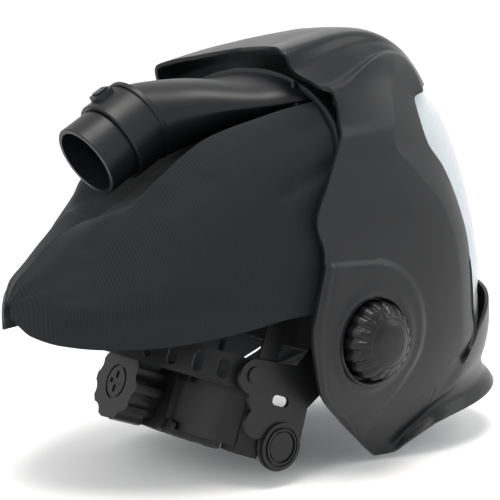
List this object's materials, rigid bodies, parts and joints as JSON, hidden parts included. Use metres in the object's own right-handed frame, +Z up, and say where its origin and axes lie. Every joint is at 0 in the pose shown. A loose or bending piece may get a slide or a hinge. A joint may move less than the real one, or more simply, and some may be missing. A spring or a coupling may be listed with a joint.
{
  "type": "powered air respirator headtop",
  "caption": "Matte black respirator headtop: helmet shell with clear wrap-round visor, fabric hood, rear air duct with swivel hose spigot, and ratchet headgear.",
  "frame": {"origin": "The middle of the wearer's head, where mount head is.", "axes": "+Z up. -Y is the front, the way the wearer faces; +X is the wearer's left. The helmet is half raised and the headgear hangs nose-down."},
  "size_m": [0.272, 0.424, 0.3295],
  "materials": {
    "shell_black": "fine matte moulded texture",
    "visor_clear": "clear glossy polycarbonate",
    "gasket_rubber": "soft matte",
    "frame_black": "satin moulded",
    "duct_black": "satin moulded",
    "hood_fabric": "ribbed coated fabric",
    "gear_black": "satin moulded",
    "knob_black": "smooth, slightly glossy",
    "pad_fabric": "soft knitted pad",
    "insert_brass": "turned",
    "bolt_steel": "zinc-plated"
  },
  "bodies": {
    "headgear": {"side_plate_left": "gear_black", "side_plate_right": "gear_black", "hub_disc_left": "gear_black", "hub_disc_right": "gear_black", "forehead_band": "gear_black", "sweatband": "pad_fabric", "occipital_strap": "gear_black", "front_crown_strap": "gear_black", "rear_crown_strap": "gear_black", "crown_buckle": "gear_black", "nape_housing": "gear_black", "end_cap_left": "gear_black", "end_cap_right": "gear_black", "nape_band_left": "gear_black", "nape_band_right": "gear_black", "nape_pad": "pad_fabric", "strap_clips": "gear_black"},
    "carriage": {"slider_block_left": "gear_black", "slider_block_right": "gear_black", "pivot_bolt_left": "bolt_steel", "pivot_bolt_right": "bolt_steel", "friction_washer_left": "gasket_rubber", "friction_washer_right": "gasket_rubber"},
    "helmet": {"helmet_shell": "shell_black", "visor": "visor_clear", "visor_gasket": "gasket_rubber", "visor_frame": "frame_black", "chin_guard": "shell_black", "chin_lip": "gasket_rubber", "seal_frame": "frame_black", "frame_clips": "frame_black", "duct_cover": "duct_black", "duct_floor": "duct_black", "air_outlet": "frame_black", "duct_brackets": "frame_black", "hood": "hood_fabric", "hood_hem": "hood_fabric"},
    "knob_left": {"tension_knob_left": "knob_black", "knob_insert_left": "insert_brass"},
    "knob_right": {"tension_knob_right": "knob_black", "knob_insert_right": "insert_brass"},
    "ratchet": {"ratchet_knob": "knob_black", "ratchet_pinion": "gear_black"},
    "rack_above": {"rack_upper": "gear_black"},
    "rack_below": {"rack_lower": "gear_black"},
    "deflector": {"air_deflector": "frame_black"},
    "swivel": {"hose_spigot": "duct_black", "duct_collar": "duct_black", "swivel_seal": "gasket_rubber"},
    "latch": {"latch_button": "duct_black", "latch_spring": "bolt_steel"}
  },
  "joints": [
    {"name": "fore_aft", "type": "slide", "parent": "headgear", "child": "carriage", "axis": [0, 0.9391, 0.3437], "range_m": [-0.006, 0.006]},
    {"name": "shell_pivot", "type": "hinge", "parent": "carriage", "child": "helmet", "pos_m": [0, -0.0184, -0.0552], "axis": [1, 0, 0], "range_deg": [-30, 25]},
    {"name": "knob_left_turn", "type": "hinge", "parent": "carriage", "child": "knob_left", "pos_m": [0.12, -0.0184, -0.0552], "axis": [1, 0, 0], "range_deg": [-180, 180]},
    {"name": "knob_right_turn", "type": "hinge", "parent": "carriage", "child": "knob_right", "pos_m": [-0.12, -0.0184, -0.0552], "axis": [1, 0, 0], "range_deg": [-180, 180]},
    {"name": "ratchet_turn", "type": "hinge", "parent": "headgear", "child": "ratchet", "pos_m": [0, 0.097, -0.09484], "axis": [0, 0.9391, 0.3437], "range_deg": [-40, 40]},
    {"name": "rack_above_slide", "type": "slide", "parent": "headgear", "child": "rack_above", "axis": [1, 0, 0], "range_m": [-0.0053, 0.0053]},
    {"name": "rack_below_slide", "type": "slide", "parent": "headgear", "child": "rack_below", "axis": [1, 0, 0], "range_m": [-0.0053, 0.0053]},
    {"name": "deflector_slide", "type": "slide", "parent": "helmet", "child": "deflector", "axis": [1, 0, 0], "range_m": [0, 0.008]},
    {"name": "hose_swivel", "type": "hinge", "parent": "helmet", "child": "swivel", "pos_m": [0, 0.1412, 0.0681], "axis": [0, 0.8261, -0.5635], "continuous": true},
    {"name": "latch_press", "type": "slide", "parent": "swivel", "child": "latch", "axis": [0, -0.5635, -0.8261], "range_m": [0, 0.0012], "stiffness_N_per_m": 600, "deforming": ["latch_spring"]}
  ],
  "couplings": [
    {"joint": "rack_above_slide", "follows": "ratchet_turn", "m_per_rad": 0.0075},
    {"joint": "rack_below_slide", "follows": "ratchet_turn", "m_per_rad": -0.0075}
  ]
}
